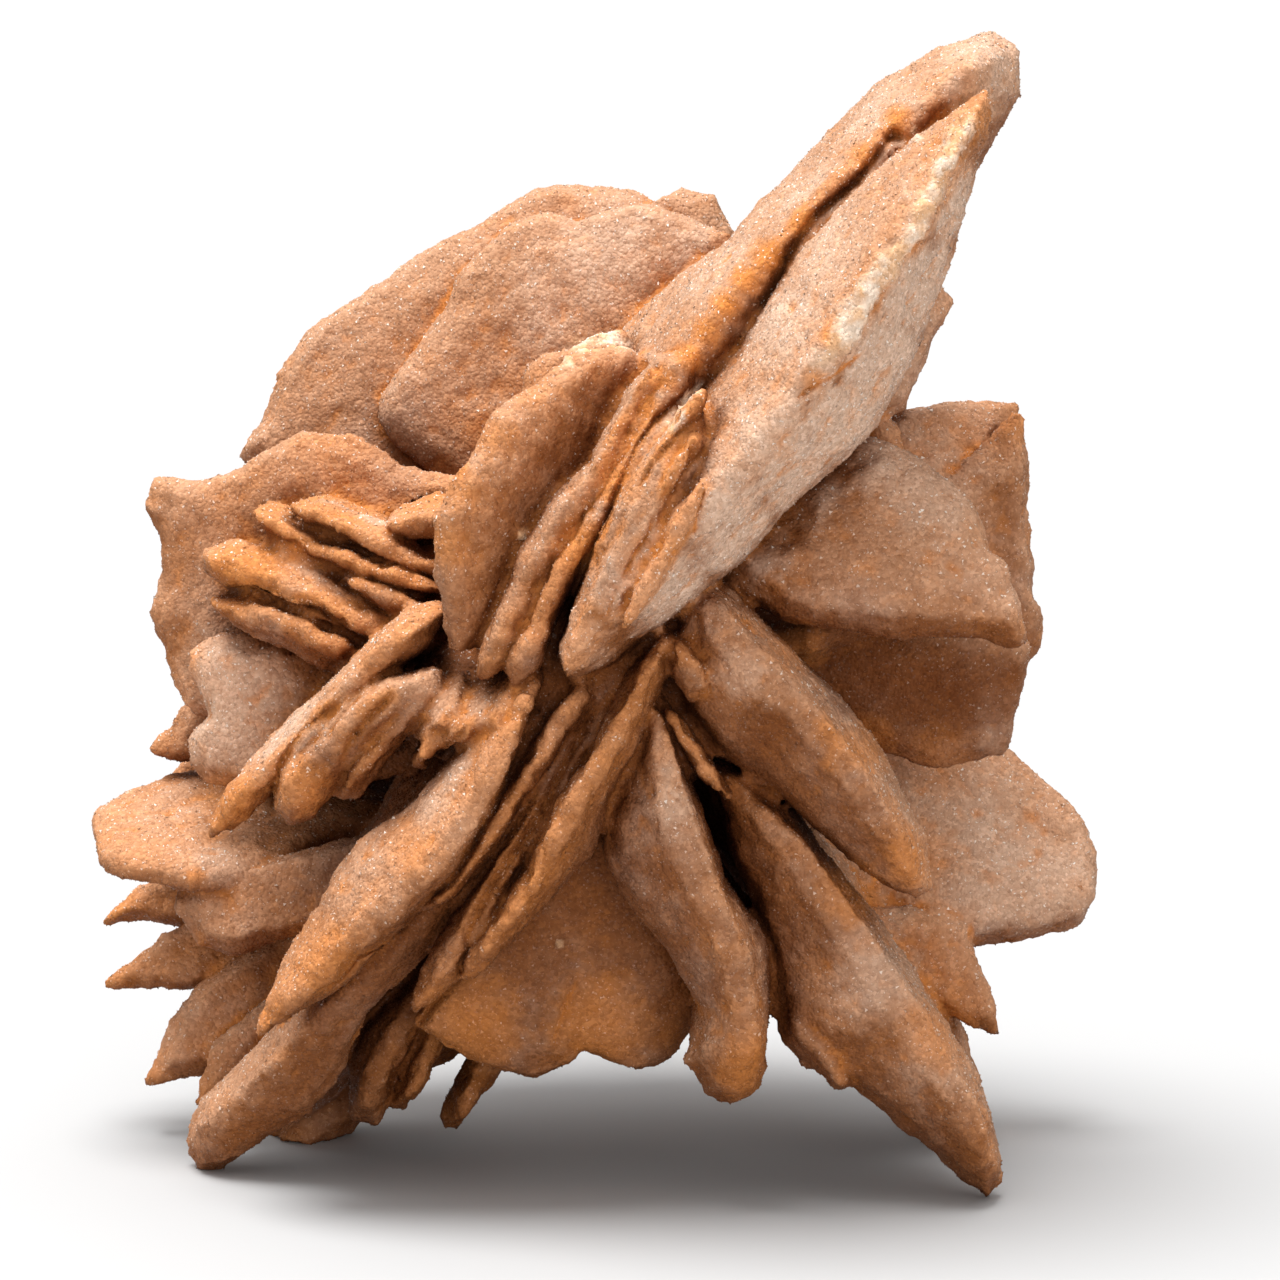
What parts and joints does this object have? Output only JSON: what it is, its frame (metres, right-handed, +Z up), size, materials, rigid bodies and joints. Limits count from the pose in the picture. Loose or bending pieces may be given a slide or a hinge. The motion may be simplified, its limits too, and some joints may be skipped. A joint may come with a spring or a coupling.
{
  "type": "gypsum sand rose",
  "caption": "Natural sand rose: sandy gypsum blades grown through each other in one cluster, with a long double blade rising at one side, standing on its blade tips.",
  "frame": {"origin": "on the surface it stands on, under the middle of the rose's outline", "axes": "+Z up, -Y towards the viewer of the front, where the long blades cross; +X to that viewer's right, the side on which the longest blade rises"},
  "size_m": [0.0514, 0.0418, 0.0571],
  "materials": {
    "sandy_gypsum": "matt, sugary with sand grains that sparkle, orange and slightly translucent at the thin rims"
  },
  "bodies": {
    "root": {"sand_rose": "sandy_gypsum"}
  },
  "joints": []
}
